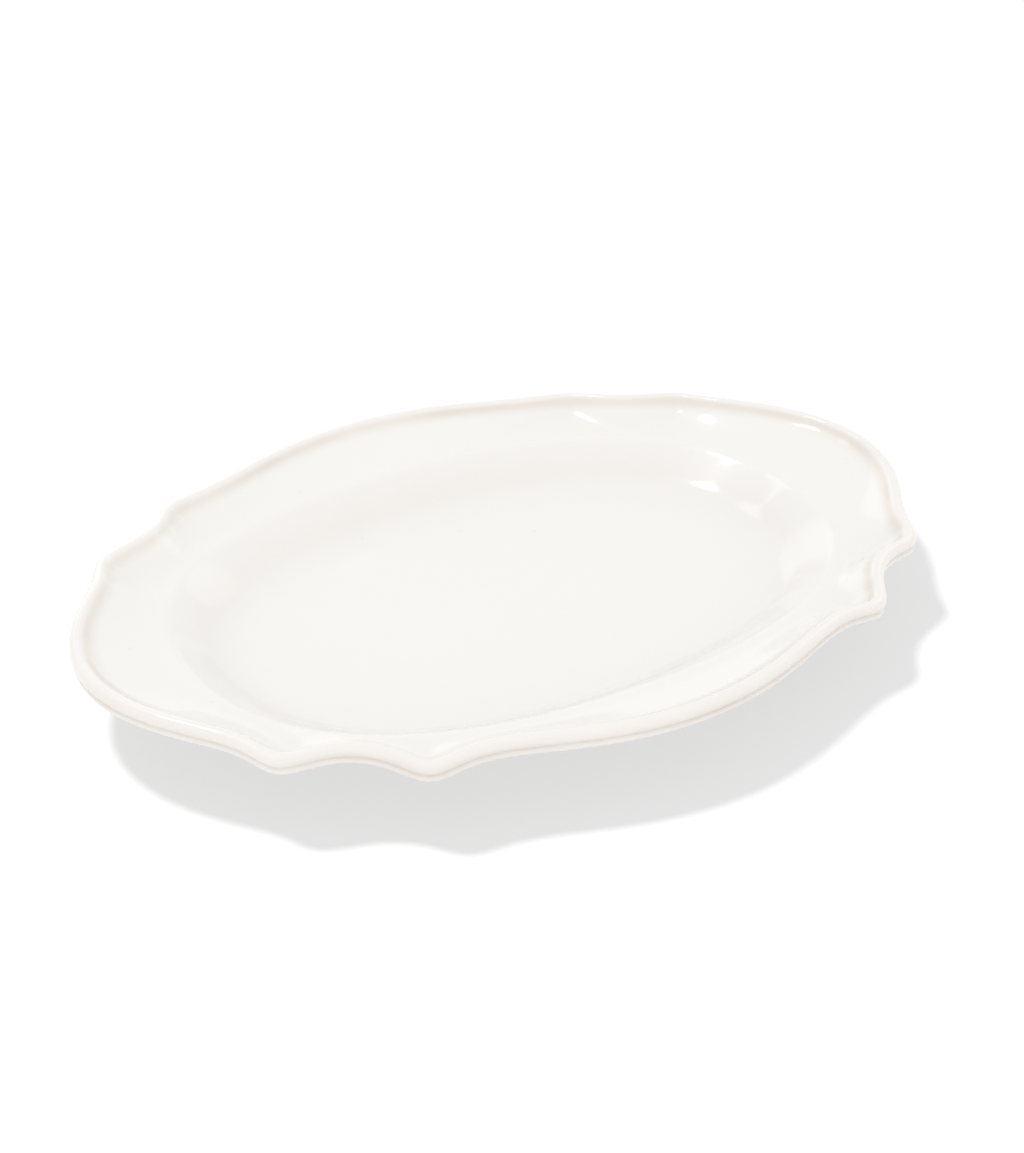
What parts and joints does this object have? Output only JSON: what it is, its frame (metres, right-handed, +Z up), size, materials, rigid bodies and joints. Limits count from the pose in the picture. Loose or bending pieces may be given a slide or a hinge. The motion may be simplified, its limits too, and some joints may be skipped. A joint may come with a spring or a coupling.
{
  "type": "oval serving platter",
  "caption": "Oval serving platter with a shallow flat-floored well, a dished flange with pinched spout-like cusps at its corners, a rolled lip and an oval foot; glossy warm-white glaze.",
  "frame": {"origin": "middle of the plane that the foot stands on", "axes": "+X along the platter's length, +Y across it, +Z up out of the well"},
  "size_m": [0.3798, 0.2874, 0.0366],
  "materials": {
    "glaze": "glossy warm-white glaze",
    "bare_clay": "matt fired clay, wiped bare of glaze"
  },
  "bodies": {
    "root": {"clay_body": "bare_clay", "foot_ring": "bare_clay", "glaze_coat": "glaze", "glaze_back_panel": "glaze"}
  },
  "joints": []
}
